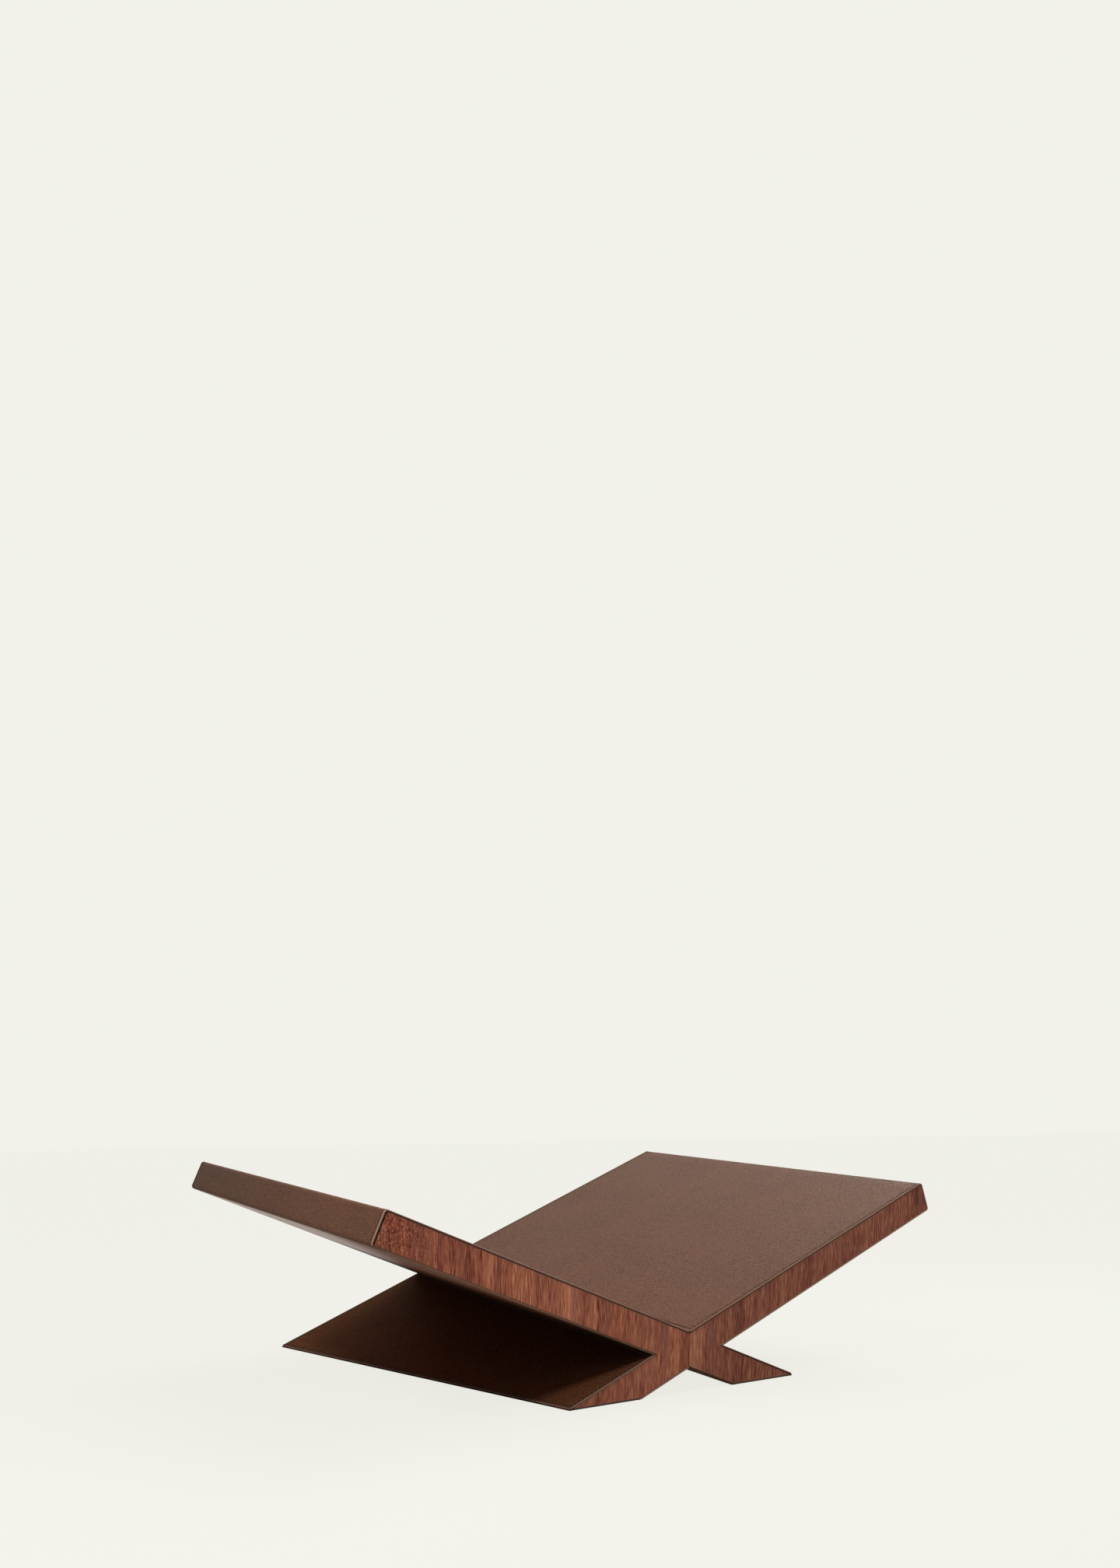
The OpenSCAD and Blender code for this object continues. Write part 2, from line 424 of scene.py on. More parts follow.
# Thread: single stitches along the crease round each sheet

def stitch_rows(sheet):
    """The four rows of a sheet: functions from 0..1 to a place (a, s) on it, and their lengths."""
    inset = STITCH_INSET
    span = DEPTH - 2 * inset

    def end_row(s):
        run = sheet.length(s) - 2 * inset
        return (lambda t: (inset + run * t, s)), run

    start_row = (lambda t: (inset, inset + span * t)), span
    far_row = (lambda t: (sheet.length(inset + span * t) - inset, inset + span * t)), span
    return [end_row(inset), end_row(DEPTH - inset), start_row, far_row]


def add_stitch(points, faces, middle, along, normal):
    """One stitch: a short thread that dips into the leather at both ends."""
    across = normal.cross(along)
    along = (along * math.cos(STITCH_SLANT) + across * math.sin(STITCH_SLANT)).normalized()
    across = normal.cross(along)
    first = len(points)
    for i in range(STITCH_RINGS):
        t = 2 * (i + 0.5) / STITCH_RINGS - 1
        radius = THREAD_R * MM * (1 - t ** 4) ** 0.5
        centre = middle + along * (t * STITCH_L / 2 * MM) - normal * (STITCH_DIP * MM * t * t)
        for k in range(STITCH_SIDES):
            angle = 2 * math.pi * k / STITCH_SIDES
            outwards = across * math.cos(angle) + normal * math.sin(angle)
            points.append(centre + outwards * radius)
    for i in range(STITCH_RINGS - 1):
        for k in range(STITCH_SIDES):
            a = first + i * STITCH_SIDES + k
            b = first + i * STITCH_SIDES + (k + 1) % STITCH_SIDES
            faces.append((a, b, b + STITCH_SIDES, a + STITCH_SIDES))
    last = first + (STITCH_RINGS - 1) * STITCH_SIDES
    faces.append(tuple(first + k for k in reversed(range(STITCH_SIDES))))
    faces.append(tuple(last + k for k in range(STITCH_SIDES)))


def thread_piece(name, sheet, side):
    """All stitches of one leather sheet."""
    points, faces = [], []
    look_ahead = 0.2
    sunk = THREAD_R - CREASE_D
    for row, length in stitch_rows(sheet):
        count = round(length / STITCH_PITCH)
        for i in range(count):
            t = (i + 0.5) / count
            a, s = row(t)
            middle = sheet_point(sheet, side, a, s, sunk)
            ahead = sheet_point(sheet, side, *row(t + look_ahead / length), sunk)
            over = sheet_point(sheet, side, a, s, sunk + 1)
            normal = (over - middle).normalized()
            along = (ahead - middle).normalized()
            add_stitch(points, faces, middle, along, normal)
    return mesh_object(name, points, faces, THREAD_SMOOTH)


# Wood facings and soles: rounded prisms

def loft(name, rings):
    """A closed mesh through rings of equally many points."""
    size = len(rings[0])
    points = [point for ring in rings for point in ring]
    faces = []
    for i in range(len(rings) - 1):
        for k in range(size):
            a = i * size + k
            b = i * size + (k + 1) % size
            faces.append((a, b, b + size, a + size))
    faces.append(tuple(reversed(range(size))))
    faces.append(tuple((len(rings) - 1) * size + k for k in range(size)))
    return mesh_object(name, points, turned_out(points, faces), HARD_SMOOTH)


def quarter_turn(steps):
    """Angles from 0 to a right angle."""
    return [math.pi / 2 * i / steps for i in range(steps + 1)]


def rounding(radius):
    """Inset and depth of the rings over a rounded edge, from its face to its side."""
    turns = quarter_turn(ROUND_STEPS)
    return [(radius * (1 - math.sin(turn)), radius * (1 - math.cos(turn))) for turn in turns]


def facing_outline(inset, s, outer_gap):
    """End view of the right leaf, its edges drawn in by inset, at s."""
    skin = LEATHER_T + FACING_GAP + inset
    corner_r = EDGE_R - LEATHER_T - FACING_GAP
    seam_u = SEAM_W / 2 + inset
    foot_v = level_v(SOLE_T + inset, s)
    end_x = PANEL_L - LEATHER_T - outer_gap - inset - corner_r
    outline = [(seam_u, (seam_u * SIN - skin) / COS)]
    for turn in quarter_turn(BEND_STEPS):
        x = end_x + corner_r * math.sin(turn)
        outline.append(from_board(x, corner_r * (math.cos(turn) - 1) - skin))
    for turn in quarter_turn(BEND_STEPS):
        x = end_x + corner_r * math.cos(turn)
        outline.append(from_board(x, corner_r * (1 - math.sin(turn)) + skin - BODY_T))
    # The inner corner, the two ends of the foot, and the top of the arch at the joint
    outline.append(((BODY_T - 2 * skin) / (2 * SIN), -BODY_T / (2 * COS)))
    outline.append(((-skin - foot_v * COS) / SIN, foot_v))
    outline.append(((skin - BODY_T - foot_v * COS) / SIN, foot_v))
    outline.append((seam_u, (skin - BODY_T - seam_u * SIN) / COS))
    return outline


def facing_piece(name, start, side, outer_gap):
    """One leaf of wood, from start along the valley."""
    rim = [(FACING_ROUND + ARRIS_W, 0.0)] + rounding(FACING_ROUND)
    profile = [(inset, start + depth) for inset, depth in rim]
    profile += [(inset, start + FACING_T - depth) for inset, depth in reversed(rim)]
    rings = []
    for inset, s in profile:
        rings.append([placed(side * u, v, s) for u, v in facing_outline(inset, s, outer_gap)])
    piece = loft(name, rings)
    # painted highlight along the rounded rim, none on the flat faces
    arris_highlight_shares = [0.0] + [1.0] * (len(rim) - 2) + [0.0]
    give_numbers(piece, "arris_highlight", [part for part in arris_highlight_shares + arris_highlight_shares[::-1] for point in rings[0]])
    return piece


def sole_outline(side, inset, z):
    """Plan of a sole at height z, its edges drawn in by inset."""
    ends = []
    for s in (REVEAL + inset, DEPTH - REVEAL - inset):
        v = level_v(z, s)
        arch_u = (LEATHER_T - BODY_T - v * COS) / SIN + inset
        nose_u = (leg_reach(s) - LEG_CORNER_X) * COS - SOLE_NOSE * z / SOLE_T - inset
        ends.append((placed(side * arch_u, v, s), placed(side * nose_u, v, s)))
    (front_arch, front_nose), (back_arch, back_nose) = ends
    return [front_arch, front_nose, back_nose, back_arch]


def sole_piece(name, side):
    """The sole under one foot."""
    levels = rounding(SOLE_ROUND)
    levels += [(inset, SOLE_T - depth) for inset, depth in reversed(levels)]
    return loft(name, [sole_outline(side, inset, z) for inset, z in levels])


# Nodes of a material

def put(tree, socket, value):
    """A link into a socket, or a number or colour set on it."""
    if isinstance(value, bpy.types.NodeSocket):
        tree.links.new(value, socket)
    else:
        socket.default_value = value


def add(tree, kind, inputs=None, **settings):
    """A node with its settings, and its inputs as numbers or links."""
    made = tree.nodes.new(kind)
    for key, value in settings.items():
        setattr(made, key, value)
    for key, value in (inputs or {}).items():
        put(tree, made.inputs[key], value)
    return made


def srgb(red, green, blue):
    """A colour given as it looks on a screen, 0 to 255, as a linear one."""
    def linear(part):
        part /= 255
        return part / 12.92 if part <= 0.04045 else ((part + 0.055) / 1.055) ** 2.4
    return linear(red), linear(green), linear(blue), 1.0


def empty_tree(owner):
    """The node tree of a material or world, with nothing in it."""
    owner.use_nodes = True
    owner.node_tree.nodes.clear()
    return owner.node_tree


def new_material(name):
    """A node material, with its surface shader and its place in the frame as coordinates."""
    material = bpy.data.materials.new(name)
    tree = empty_tree(material)
    shader = add(tree, "ShaderNodeBsdfPrincipled")
    add(tree, "ShaderNodeOutputMaterial", {"Surface": shader.outputs["BSDF"]})
    where = add(tree, "ShaderNodeTexCoord").outputs["Object"]
    return material, tree, shader, where


def noise(tree, where, scale, stretch=(1, 1, 1), detail=2.0, rough=0.5, shift=(0, 0, 0)):
    """Noise of a scale per metre, stretched along the axes."""
    mapped = add(tree, "ShaderNodeMapping", {"Vector": where, "Scale": stretch, "Location": shift})
    inputs = {"Vector": mapped.outputs["Vector"], "Scale": scale, "Detail": detail, "Roughness": rough}
    return add(tree, "ShaderNodeTexNoise", inputs).outputs["Fac"]


def math_node(tree, operation, first, second):
    """One operation on two numbers."""
    return add(tree, "ShaderNodeMath", {0: first, 1: second}, operation=operation).outputs["Value"]


def scaled(tree, value, gain):
    """A number times a constant."""
    return math_node(tree, "MULTIPLY", value, gain)


def swing(tree, value, gain):
    """How far a noise is from its middle, times a constant."""
    return scaled(tree, math_node(tree, "SUBTRACT", value, 0.5), gain)


def ranged(tree, value, low, high, out_low=0.0, out_high=1.0):
    """A number taken from one range to another, smoothly and with ends."""
    inputs = {"Value": value, "From Min": low, "From Max": high, "To Min": out_low, "To Max": out_high}
    made = add(tree, "ShaderNodeMapRange", inputs, interpolation_type="SMOOTHSTEP")
    return made.outputs["Result"]


def mixed(tree, factor, first, second):
    """Two colours mixed by a factor; a mix node has its colour sockets at 6, 7 and, going out, 2."""
    return add(tree, "ShaderNodeMix", {0: factor, 6: first, 7: second}, data_type="RGBA").outputs[2]


def ramp(tree, value, stops):
    """Colours along a number, given as (place, colour)."""
    made = add(tree, "ShaderNodeValToRGB", {"Fac": value})
    band = made.color_ramp
    while len(band.elements) < len(stops):
        band.elements.new(0.5)
    for element, (place, colour) in zip(band.elements, stops):
        element.position = place
        element.color = colour
    return made.outputs["Color"]


def number(tree, name):
    """A number that a piece keeps for each of its points."""
    return add(tree, "ShaderNodeAttribute", attribute_name=name).outputs["Fac"]


def bell(tree, value, centre, half):
    """1 at a centre, falling off to nothing a few half widths away."""
    away = math_node(tree, "DIVIDE", math_node(tree, "SUBTRACT", value, centre), half)
    return math_node(tree, "POWER", math.e, scaled(tree, math_node(tree, "MULTIPLY", away, away), -1.0))


def laid_over(tree, below, share, tone):
    """A colour with another over it; tone is the other colour and its share at most."""
    colour, most = tone
    return mixed(tree, scaled(tree, share, most), below, colour)


def surface(tree, shader, colour, roughness, gloss, height, bump, invert=False):
    """Sets what every shader has, and gives its normal; bump is its strength and its depth in metres."""
    put(tree, shader.inputs["Base Color"], colour)
    put(tree, shader.inputs["Roughness"], roughness)
    shader.inputs["Specular IOR Level"].default_value = gloss
    strength, depth = bump
    inputs = {"Height": height, "Strength": strength, "Distance": depth}
    normal = add(tree, "ShaderNodeBump", inputs, invert=invert).outputs["Normal"]
    put(tree, shader.inputs["Normal"], normal)
    return normal


# Leather: noise scales per metre, how much pebbles and mottling count, and the ranges in which they show
PEBBLE_SCALE = 1100
FINE_SCALE = 1900
MOTTLE_SCALE = 600
PATCH_SCALE = 22
PATCH_DETAIL = 3.0
PEBBLE_GAIN = 0.8
MOTTLE_GAIN = 0.8
PATCH_RANGE = (0.3, 0.7)
MOTTLE_RANGE = (0.5, 1.15)
GRAIN_RANGE = (0.4, 1.2)
LEATHER_ROUGH = (0.46, 0.6)
LEATHER_BUMP = (0.4, 0.0003)

# Tones that lie over the leather, each with its share at most
# painted reflection of the pale floor on the polished undersides
PAINTED_REFLECTION_TONE = (srgb(205, 128, 101), 0.6)
# painted highlight on the strip outside the stitching
BORDER_HIGHLIGHT_TONE = (srgb(138, 102, 80), 0.2)
# painted highlight on the leather's rolled edges
ROLL_HIGHLIGHT_TONE = (srgb(180, 150, 131), 0.7)
PAINT_TONE = (srgb(58, 36, 27), 1.0)

# The polish as a coat, with a little warm sheen under it
POLISH_COAT = 0.65
POLISH_ROUGH = 0.3
POLISH_METAL = 0.14


def leather_material(name, gloss, tones, crease_shade):
    """Brown leather with a fine pebbled grain, painted on its cut edges; painted shade darkens its creases,
    painted highlights lighten its border and rolled edges, and a painted reflection lies where it is
    polished.

    tones are the two of the broad patches and a light one in the grain. crease_shade is the tone of the
    painted shade in the creases, with its share at most.
    """
    material, tree, shader, where = new_material(name)
    cells = add(tree, "ShaderNodeTexVoronoi", {"Vector": where, "Scale": PEBBLE_SCALE})
    pebble = scaled(tree, cells.outputs["Distance"], PEBBLE_GAIN)
    grain = math_node(tree, "ADD", pebble, noise(tree, where, FINE_SCALE))
    patch = noise(tree, where, PATCH_SCALE, detail=PATCH_DETAIL)
    tone = mixed(tree, ranged(tree, patch, *PATCH_RANGE), tones[0], tones[1])
    mottle = swing(tree, noise(tree, where, MOTTLE_SCALE), MOTTLE_GAIN)
    mottled = math_node(tree, "ADD", grain, mottle)
    tone = mixed(tree, ranged(tree, mottled, *MOTTLE_RANGE), tones[2], tone)
    polish_and_reflection = number(tree, "polish_and_reflection")
    # painted reflection where the underside is polished
    tone = laid_over(tree, tone, polish_and_reflection, PAINTED_REFLECTION_TONE)
    # painted highlight on the border strip, and on the cut and inner side
    tone = laid_over(tree, tone, number(tree, "border"), BORDER_HIGHLIGHT_TONE)
    # painted shade in the creases and grooves
    tone = laid_over(tree, tone, number(tree, "crease"), crease_shade)
    # painted highlight on the rolled edges
    tone = laid_over(tree, tone, number(tree, "roll_highlight"), ROLL_HIGHLIGHT_TONE)
    tone = laid_over(tree, tone, number(tree, "paint"), PAINT_TONE)
    roughness = ranged(tree, grain, *GRAIN_RANGE, *LEATHER_ROUGH)
    normal = surface(tree, shader, tone, roughness, gloss, grain, LEATHER_BUMP, invert=True)
    put(tree, shader.inputs["Coat Weight"], scaled(tree, polish_and_reflection, POLISH_COAT))
    put(tree, shader.inputs["Metallic"], scaled(tree, polish_and_reflection, POLISH_METAL))
    shader.inputs["Coat Roughness"].default_value = POLISH_ROUGH
    put(tree, shader.inputs["Coat Normal"], normal)
    return material


# Wood of the facings: how its grain sways, in metres, how much calmer the straight grain is where it turns
# curly, and the part of a noise scale that counts along the depth, which draws the streaks out
SWAY_SCALE = 30
SWAY_STRETCH = (0.5, 1, 1)
SWAY = 0.004
CURLY_CALM = 0.7
ALONG_DEPTH = 0.02

# Streaks of the wood: noise scale per metre, the part of it that counts upright, detail, gain, and where
# they are
STREAKS = (
    (2300, 0.05, 1.0, 1.05, "straight"),
    (1200, 0.06, 1.0, 0.4, "straight"),
    (1400, 0.55, 2.0, 1.1, "curly"),
    (300, 0.03, 1.0, 0.4, "straight"),
    (80, 0.03, 2.0, 0.45, "everywhere"),
)

# What lies over the streaks: noise scale per metre, the parts of it that count along the three axes,
# detail, and the range that shows; and its tone, with its share at most
DUST = (260, (1, ALONG_DEPTH, 0.06), 2.0, (0.45, 0.75))
DUST_TONE = (srgb(122, 79, 70), 0.6)
PORES = (2200, (1, 0.05, 0.05), 1.0, (0.62, 0.74))
PORES_TONE = (srgb(58, 27, 21), 0.45)
FIBRES = (2500, (1, 0.05, 0.05), 1.0, (0.58, 0.76))
FIBRES_TONE = (srgb(186, 128, 106), 0.5)
# painted highlight along a facing's rounded edge
ARRIS_HIGHLIGHT_TONE = (srgb(205, 150, 122), 0.15)

# Places of the tones along the streaks, how the wood shines, and how much the streaks count in its bump
TONE_STEPS = (0.18, 0.36, 0.5, 0.66, 0.85)
TONE_RANGE = (0.3, 0.7)
VENEER_ROUGH = (0.5, 0.4)
VENEER_GLOSS = 0.05
VENEER_RELIEF = 0.4
VENEER_BUMP = (0.3, 0.0001)


def marks(tree, where, shift, kind):
    """Where single marks of one kind are in the wood, from 0 to 1."""
    scale, stretch, detail, shown = kind
    return ranged(tree, noise(tree, where, scale, stretch, detail, shift=shift), *shown)


def veneer_material(name, tones, shift, bands, curl):
    """Straight-grained wood, upright on the ends: fibres, pores and bands of a lighter or darker tone, and
    a painted highlight on its rounded edges.

    tones run from dark to light. bands are (middle u, half width, gain), and curl is (middle u, half width)
    of the stretch where the grain turns curly. shift is where in the noise the wood is cut.
    """
    material, tree, shader, where = new_material(name)
    sway = swing(tree, noise(tree, where, SWAY_SCALE, SWAY_STRETCH, 1.0, shift=shift), SWAY)
    offset = add(tree, "ShaderNodeCombineXYZ", {"X": sway}).outputs[0]
    bent = add(tree, "ShaderNodeVectorMath", {0: where, 1: offset}, operation="ADD").outputs[0]
    across = add(tree, "ShaderNodeSeparateXYZ", {"Vector": bent}).outputs["X"]
    curly = bell(tree, across, curl[0] * MM, curl[1] * MM)
    straight = math_node(tree, "SUBTRACT", 1.0, scaled(tree, curly, CURLY_CALM))
    shares = {"straight": straight, "curly": curly, "everywhere": 1.0}
    tone = 0.5
    for scale, upright, detail, gain, place in STREAKS:
        streaks = noise(tree, bent, scale, (1, ALONG_DEPTH, upright), detail, shift=shift)
        part = math_node(tree, "MULTIPLY", swing(tree, streaks, gain), shares[place])
        tone = math_node(tree, "ADD", part, tone)
    for centre, half, gain in bands:
        band = scaled(tree, bell(tree, across, centre * MM, half * MM), gain)
        tone = math_node(tree, "ADD", band, tone)
    colour = ramp(tree, tone, tuple(zip(TONE_STEPS, tones)))
    other_shift = shift[::-1]
    pores = marks(tree, bent, shift, PORES)
    colour = laid_over(tree, colour, marks(tree, bent, other_shift, DUST), DUST_TONE)
    colour = laid_over(tree, colour, pores, PORES_TONE)
    colour = laid_over(tree, colour, marks(tree, bent, other_shift, FIBRES), FIBRES_TONE)
    colour = laid_over(tree, colour, number(tree, "arris_highlight"), ARRIS_HIGHLIGHT_TONE)
    roughness = ranged(tree, tone, *TONE_RANGE, *VENEER_ROUGH)
    height = math_node(tree, "SUBTRACT", scaled(tree, tone, VENEER_RELIEF), pores)
    surface(tree, shader, colour, roughness, VENEER_GLOSS, height, VENEER_BUMP)
    return material


# Thread, soles and hidden wood: noise scale per metre, roughness, gloss and bump
TWIST_SCALE = 900
TWIST_WAVER = 2.0
THREAD_ROUGH = 0.5
THREAD_GLOSS = 0.05
THREAD_BUMP = (0.3, 0.0001)
FELT_SCALE = 1500
FELT_ROUGH = 0.9
FELT_GLOSS = 0.2
FELT_BUMP = (0.5, 0.0003)
CORE_SCALE = 500
CORE_STRETCH = (1, 0.03, 1)
CORE_RANGE = (0.3, 0.7)
CORE_ROUGH = 0.7
CORE_GLOSS = 0.5
CORE_BUMP = (0.2, 0.0002)


def thread_material():
    """Waxed brown thread, with its twist."""
    material, tree, shader, where = new_material("waxed_thread")
    inputs = {"Vector": where, "Scale": TWIST_SCALE, "Distortion": TWIST_WAVER}
    twist = add(tree, "ShaderNodeTexWave", inputs, bands_direction="DIAGONAL").outputs["Fac"]
    colour = mixed(tree, twist, srgb(72, 49, 37), srgb(100, 73, 58))
    surface(tree, shader, colour, THREAD_ROUGH, THREAD_GLOSS, twist, THREAD_BUMP)
    return material


def sole_material():
    """Dark felted sole."""
    material, tree, shader, where = new_material("felted_sole")
    fibre = noise(tree, where, FELT_SCALE, detail=4.0, rough=0.7)
    colour = mixed(tree, fibre, srgb(58, 42, 34), srgb(86, 66, 55))
    surface(tree, shader, colour, FELT_ROUGH, FELT_GLOSS, fibre, FELT_BUMP)
    return material


def core_material(name, dark, light):
    """Plain pale wood of the hidden boards and dowels, its grain along the depth."""
    material, tree, shader, where = new_material(name)
    grain = noise(tree, where, CORE_SCALE, CORE_STRETCH, detail=4.0, rough=0.6)
    colour = mixed(tree, ranged(tree, grain, *CORE_RANGE), dark, light)
    surface(tree, shader, colour, CORE_ROUGH, CORE_GLOSS, grain, CORE_BUMP)
    return material


# The pieces

def dress(piece, material, slot, *nodes):
    """Gives a piece its material, hangs it from the root and hides the parts of the solids that it stands
    for; slot is not used.
    """
    piece.data.materials.append(material)
    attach(piece, "root")
    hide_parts(*nodes)


panel_leather = leather_material(
    "panel_leather",
    gloss=0.037,
    tones=(srgb(83, 53, 38), srgb(91, 58, 42), srgb(112, 75, 54)),
    crease_shade=(srgb(44, 25, 17), 0.6))
# The legs' leather is a darker, more saturated copy of the panel leather with darker creases: painted shade
# under the panels
shaded_leg_leather = leather_material(
    "shaded_leg_leather",
    gloss=0.002,
    tones=(srgb(79, 48, 31), srgb(87, 53, 35), srgb(110, 69, 46)),
    crease_shade=(srgb(24, 13, 9), 0.95))
thread = thread_material()
felt = sole_material()
left_veneer = veneer_material(
    "left_veneer",
    tones=(srgb(76, 32, 25), srgb(108, 54, 40), srgb(134, 74, 54), srgb(162, 98, 71), srgb(190, 127, 96)),
    shift=(3.1, 0, 1.7),
    bands=(
        (-188, 12, -0.13), (-150, 9, -0.11), (-128.7, 0.9, -0.14), (-113, 22, 0.1), (-105.5, 3, -0.08),
        (-85, 13, 0.12), (-65.4, 0.9, -0.25), (-59, 6, -0.06), (-28, 18, 0.09), (-11, 6, 0.15),
        (-2.5, 3.5, -0.14)),
    curl=(-190, 22))
right_veneer = veneer_material(
    "right_veneer",
    tones=(srgb(72, 32, 25), srgb(101, 53, 41), srgb(124, 71, 54), srgb(150, 92, 68), srgb(178, 119, 91)),
    shift=(7.7, 0, 4.3),
    bands=(
        (5, 4.5, 0.28), (17, 8, 0.03), (54, 6, -0.02), (100, 12, -0.04), (178, 4, 0.08), (192, 9, -0.17)),
    curl=(230, 10))

# The right board runs from the right panel down to the left leg, so only the left panel and what is on the
# right leg are mirrored
SHEETS = (
    ("left", "panel", PanelSheet(INKED, PAINTED_AND_HIGHLIGHTED, LIGHTLY_PAINTED), -1, panel_leather),
    ("right", "panel", PanelSheet(PAINTED, BARE, BARE), 1, panel_leather),
    ("left", "leg", LegSheet(BEADED, NOSED), 1, shaded_leg_leather),
    ("right", "leg", LegSheet(LINED, NOSED), -1, shaded_leg_leather),
    ("left", "arch", ArchSheet(BARE, BARE), 1, shaded_leg_leather),
    ("right", "arch", ArchSheet(LINED, LINED), -1, shaded_leg_leather),
)
for side_name, part, sheet, side, leather in SHEETS:
    cover = leather_piece(f"{side_name}_{part}_cover", sheet, side)
    dress(cover, leather, "leather", f"{side_name}_{part}_leather")
    stitches = thread_piece(f"{side_name}_{part}_thread", sheet, side)
    dress(stitches, thread, "thread", f"{side_name}_{part}_stitching")

LEAVES = (("left", -1, left_veneer, LEFT_OUTER_GAP), ("right", 1, right_veneer, FACING_GAP))
for side_name, side, veneer, outer_gap in LEAVES:
    for end_name, start in (("front", REVEAL), ("back", DEPTH - REVEAL - FACING_T)):
        leaf = facing_piece(f"{end_name}_{side_name}_leaf", start, side, outer_gap)
        dress(leaf, veneer, "facing", f"{end_name}_{side_name}_facing")
    sole = sole_piece(f"{side_name}_foot_sole", side)
    dress(sole, felt, "sole", f"{side_name}_sole")

# The hidden boards and dowels keep the shapes of the solids
core_wood = core_material("core_wood", srgb(150, 116, 80), srgb(190, 156, 114))
dowel_wood = core_material("dowel_wood", srgb(184, 150, 106), srgb(214, 184, 138))
CORES = {
    "through_board": core_wood,
    "left_panel_board": core_wood,
    "right_leg_board": core_wood,
    "dowels": dowel_wood,
}
for node_name, wood in CORES.items():
    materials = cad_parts[node_name].data.materials
    materials.clear()
    materials.append(wood)


# Floor, light and camera

# The pale background; the floor's size, its own tones, for the light that it throws back and for its
# shadow, and how bright and how much of the background the camera sees on it; the weak light from all round
BACKGROUND = (0.880, 0.880, 0.815, 1)
FLOOR_REACH = 60.0
FLOOR_TONE = (0.36, 0.36, 0.34, 1)
FLOOR_SHADOW_TONE = (0.6, 0.6, 0.556, 1)
FLOOR_BRIGHT = 1.02
FLOOR_BRIGHT_SHARE = 0.9
ALL_ROUND_TONE = (1.0, 0.99, 0.97, 1)
ALL_ROUND_LIGHT = 0.09

# Lamps: place and width in metres, and watts
LAMPS = (
    ("front_key", (-0.42, -0.3, 0.4), 0.06, 1.19),
    ("right_lamp", (0.55, 0.1, 0.5), 0.3, 0.51),
    ("front_right_lamp", (0.5, -0.35, 0.6), 0.3, 1.67),
)

# Far lights: heading, clockwise from the back, and height over the floor in degrees, strength, and spread
# in degrees
SUNS = (
    ("front_fill", 150, 12, 1.15, 30),
    ("back_softbox", 56, 43, 2.1, 40),
    ("right_softbox", 90, 60, 0.7, 40),
    ("back_left", 335, 35, 0.66, 40),
    ("back_fill", 30, 10, 0.65, 30),
)

# Camera: place and nearest distance in metres, heading, pitch and roll in degrees, lens and sensor in
# millimetres, and how far the frame is shifted up, so that the stand is low in it
CAMERA_PLACE = (-0.4529, -0.7137, 0.1494)
CAMERA_NEAREST = 0.01
CAMERA_TURN = (32.952, 1.035, -0.916)
LENS = 28.105
SENSOR_W = 36.0
FRAME_SHIFT = 0.2125


def seen_directly(tree):
    """1 for rays from the camera and for those that a mirror or glass sends on, 0 for all others."""
    path = add(tree, "ShaderNodeLightPath").outputs
    seen = math_node(tree, "MAXIMUM", path["Is Camera Ray"], path["Is Glossy Ray"])
    return math_node(tree, "MAXIMUM", seen, path["Is Transmission Ray"])


def blended(tree, factor, first, second):
    """Two shaders mixed by a factor."""
    inputs = {0: factor, 1: first.outputs[0], 2: second.outputs[0]}
    return add(tree, "ShaderNodeMixShader", inputs)


def make_floor():
    """A plain pale floor, wide enough to reach the horizon."""
    reach = FLOOR_REACH
    corners = [(-reach, -reach, 0), (reach, -reach, 0), (reach, reach, 0), (-reach, reach, 0)]
    floor = mesh_object("floor", corners, [(0, 1, 2, 3)], HARD_SMOOTH)
    material = bpy.data.materials.new("pale_floor")
    tree = empty_tree(material)
    matte = add(tree, "ShaderNodeBsdfDiffuse", {"Color": FLOOR_TONE})
    shadowed = add(tree, "ShaderNodeBsdfDiffuse", {"Color": FLOOR_SHADOW_TONE})
    bright = add(tree, "ShaderNodeEmission", {"Color": BACKGROUND, "Strength": FLOOR_BRIGHT})
    pale = blended(tree, FLOOR_BRIGHT_SHARE, shadowed, bright)
    both = blended(tree, seen_directly(tree), matte, pale)
    add(tree, "ShaderNodeOutputMaterial", {"Surface": both.outputs[0]})
    floor.data.materials.append(material)


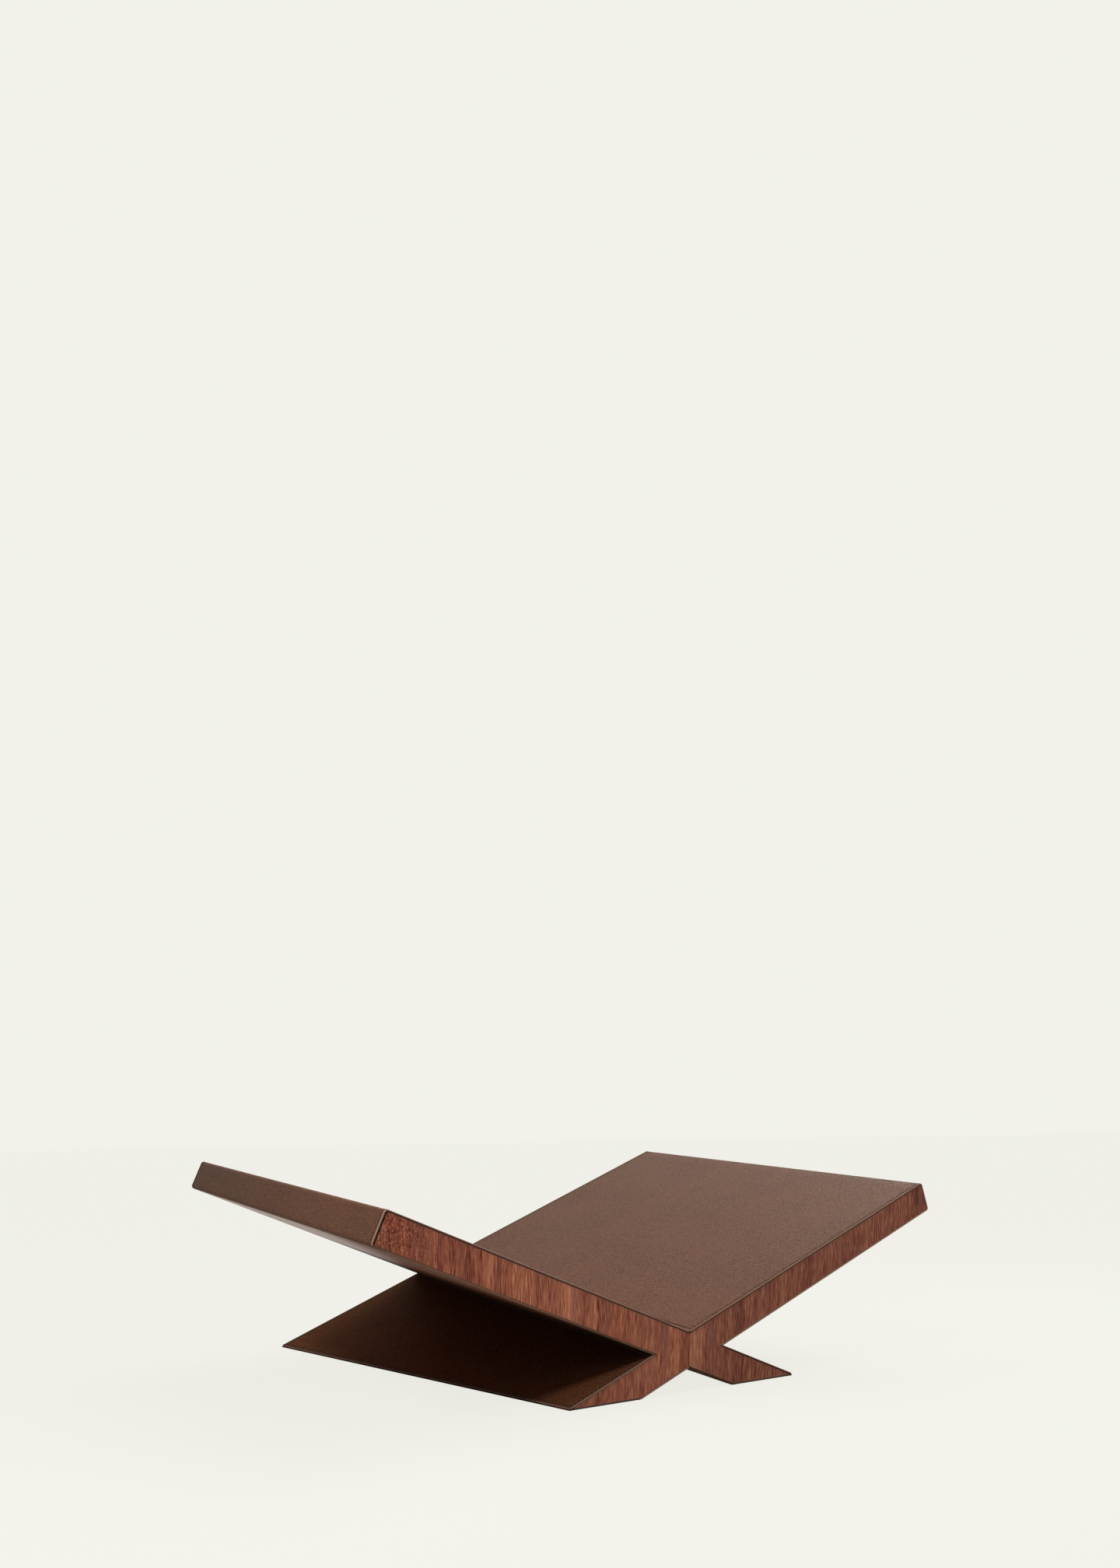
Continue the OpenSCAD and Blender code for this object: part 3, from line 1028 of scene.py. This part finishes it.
def make_world():
    """A weak light from all round; the camera sees the plain pale background."""
    world = bpy.data.worlds.new("studio")
    bpy.context.scene.world = world
    tree = empty_tree(world)
    soft = add(tree, "ShaderNodeBackground", {"Color": ALL_ROUND_TONE, "Strength": ALL_ROUND_LIGHT})
    plain = add(tree, "ShaderNodeBackground", {"Color": BACKGROUND, "Strength": 1.0})
    both = blended(tree, seen_directly(tree), soft, plain)
    add(tree, "ShaderNodeOutputWorld", {"Surface": both.outputs[0]})


def hang(name, data, source):
    """A light that shines from a direction."""
    light = bpy.data.objects.new(name, data)
    light.rotation_mode = "QUATERNION"
    light.rotation_quaternion = source.to_track_quat("Z", "Y")
    bpy.context.scene.collection.objects.link(light)
    return light


def make_sun(name, heading, height, strength, spread):
    """A broad far light."""
    data = bpy.data.lights.new(name, "SUN")
    data.energy = strength
    data.angle = math.radians(spread)
    turn = math.radians(heading)
    rise = math.radians(height)
    source = (math.sin(turn) * math.cos(rise), math.cos(turn) * math.cos(rise), math.sin(rise))
    hang(name, data, Vector(source))


def make_lamp(name, place, width, watts):
    """A round lamp aimed at the object."""
    data = bpy.data.lights.new(name, "AREA")
    data.shape = "DISK"
    data.size = width
    data.energy = watts
    lamp = hang(name, data, Vector(place) - (cad_low + cad_high) / 2)
    lamp.location = place
    lamp.visible_camera = False


def make_camera():
    """The camera at the photograph's place, nearly level."""
    data = bpy.data.cameras.new("camera")
    data.sensor_width = SENSOR_W
    data.lens = LENS
    data.shift_y = FRAME_SHIFT
    data.clip_start = CAMERA_NEAREST
    camera = bpy.data.objects.new("camera", data)
    heading, pitch, roll = (math.radians(angle) for angle in CAMERA_TURN)
    turned = Matrix.Rotation(-heading, 4, "Z") @ Matrix.Rotation(math.pi / 2 + pitch, 4, "X")
    rolled = turned @ Matrix.Rotation(roll, 4, "Z")
    camera.matrix_world = Matrix.Translation(CAMERA_PLACE) @ rolled
    bpy.context.scene.collection.objects.link(camera)
    bpy.context.scene.camera = camera


make_floor()
make_world()
for lamp in LAMPS:
    make_lamp(*lamp)
for sun in SUNS:
    make_sun(*sun)
make_camera()
bpy.context.scene.view_settings.view_transform = "Standard"
